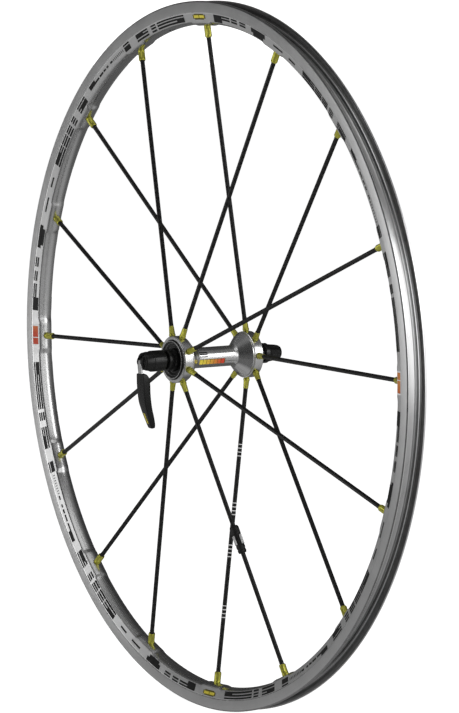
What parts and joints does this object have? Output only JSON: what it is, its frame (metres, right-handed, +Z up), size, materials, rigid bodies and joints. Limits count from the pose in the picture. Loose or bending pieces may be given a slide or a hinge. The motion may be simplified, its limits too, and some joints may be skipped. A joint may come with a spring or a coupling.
{
  "type": "bicycle front wheel",
  "caption": "Road bicycle front wheel without tyre: hollow clincher rim, radial tubular spokes, sealed-bearing hub, spoke magnet and a quick-release skewer with cam lever and nut.",
  "frame": {"origin": "the wheel's centre, on the axle halfway between the two dropout faces", "axes": "+Y along the axle from the lever side to the nut side, +Z up, +X across the wheel's plane"},
  "size_m": [0.634, 0.1478, 0.634],
  "materials": {
    "rim_aluminium": "machined satin silver",
    "hub_aluminium": "polished silver anodised",
    "carbon_spoke": "pultruded carbon tube, satin",
    "olive_anodised": "yellow-green anodised",
    "black_anodised": "black anodised",
    "black_plastic": "moulded black",
    "steel": "bright steel",
    "nylon": "natural nylon"
  },
  "bodies": {
    "axle": {"axle": "hub_aluminium", "axle_end_cap_left": "black_anodised", "axle_end_cap_right": "black_anodised", "bearing_inner_race_left": "steel", "bearing_inner_race_right": "steel"},
    "wheel": {"rim": "rim_aluminium", "hub_shell": "hub_aluminium", "spoke_left_1": "carbon_spoke", "spoke_right_1": "carbon_spoke", "spoke_left_2": "carbon_spoke", "spoke_right_2": "carbon_spoke", "spoke_left_3": "carbon_spoke", "spoke_right_3": "carbon_spoke", "spoke_left_4": "carbon_spoke", "spoke_right_4": "carbon_spoke", "spoke_left_5": "carbon_spoke", "spoke_right_5": "carbon_spoke", "spoke_left_6": "carbon_spoke", "spoke_right_6": "carbon_spoke", "spoke_left_7": "carbon_spoke", "spoke_right_7": "carbon_spoke", "spoke_left_8": "carbon_spoke", "spoke_right_8": "carbon_spoke", "nipple_left_1": "olive_anodised", "nipple_right_1": "olive_anodised", "nipple_left_2": "olive_anodised", "nipple_right_2": "olive_anodised", "nipple_left_3": "olive_anodised", "nipple_right_3": "olive_anodised", "nipple_left_4": "olive_anodised", "nipple_right_4": "olive_anodised", "nipple_left_5": "olive_anodised", "nipple_right_5": "olive_anodised", "nipple_left_6": "olive_anodised", "nipple_right_6": "olive_anodised", "nipple_left_7": "olive_anodised", "nipple_right_7": "olive_anodised", "nipple_left_8": "olive_anodised", "nipple_right_8": "olive_anodised", "bearing_outer_race_left": "steel", "bearing_outer_race_right": "steel", "spoke_retaining_ring_left": "black_plastic", "spoke_retaining_ring_right": "black_plastic", "dust_cap_left": "black_anodised", "dust_cap_right": "black_anodised", "magnet_clip_left_7": "black_plastic", "magnet_left_7": "steel", "magnet_collar_left_7": "black_plastic"},
    "bearing_balls_left": {"bearing_balls_left": "steel"},
    "bearing_balls_right": {"bearing_balls_right": "steel"},
    "skewer": {"skewer_rod": "steel"},
    "lever": {"lever": "black_anodised", "lever_pin": "steel"},
    "skewer_head": {"skewer_head": "black_anodised", "conical_spring_left": "steel"},
    "nut_spring": {"conical_spring_right": "steel"},
    "skewer_nut": {"skewer_nut": "black_anodised", "skewer_nut_insert": "nylon"}
  },
  "joints": [
    {"name": "wheel_spin", "type": "hinge", "parent": "axle", "child": "wheel", "pos_m": [0, 0, 0], "axis": [0, 1, 0], "continuous": true},
    {"name": "left_balls_roll", "type": "hinge", "parent": "axle", "child": "bearing_balls_left", "pos_m": [0, -0.03, 0], "axis": [0, 1, 0], "continuous": true},
    {"name": "right_balls_roll", "type": "hinge", "parent": "axle", "child": "bearing_balls_right", "pos_m": [0, 0.03, 0], "axis": [0, 1, 0], "continuous": true},
    {"name": "skewer_turn", "type": "hinge", "parent": "axle", "child": "skewer", "pos_m": [0, 0, 0], "axis": [0, 1, 0], "continuous": true},
    {"name": "lever_swing", "type": "hinge", "parent": "skewer", "child": "lever", "pos_m": [0, -0.0721, 0], "axis": [-1, 0, 0], "range_deg": [0, 180]},
    {"name": "head_release", "type": "slide", "parent": "skewer", "child": "skewer_head", "axis": [0, -1, 0], "range_m": [0, 0.0018]},
    {"name": "nut_travel", "type": "slide", "parent": "skewer", "child": "nut_spring", "axis": [0, 1, 0], "range_m": [0, 0.0064]},
    {"name": "nut_turn", "type": "hinge", "parent": "nut_spring", "child": "skewer_nut", "pos_m": [0, 0.06, 0], "axis": [0, -1, 0], "range_deg": [0, 2880]}
  ],
  "couplings": [
    {"joint": "left_balls_roll", "follows": "wheel_spin", "ratio": 0.425},
    {"joint": "right_balls_roll", "follows": "wheel_spin", "ratio": 0.425},
    {"joint": "head_release", "follows": "lever_swing", "m_per_rad": 0.00057296},
    {"joint": "nut_travel", "follows": "nut_turn", "m_per_rad": 0.00012732}
  ]
}
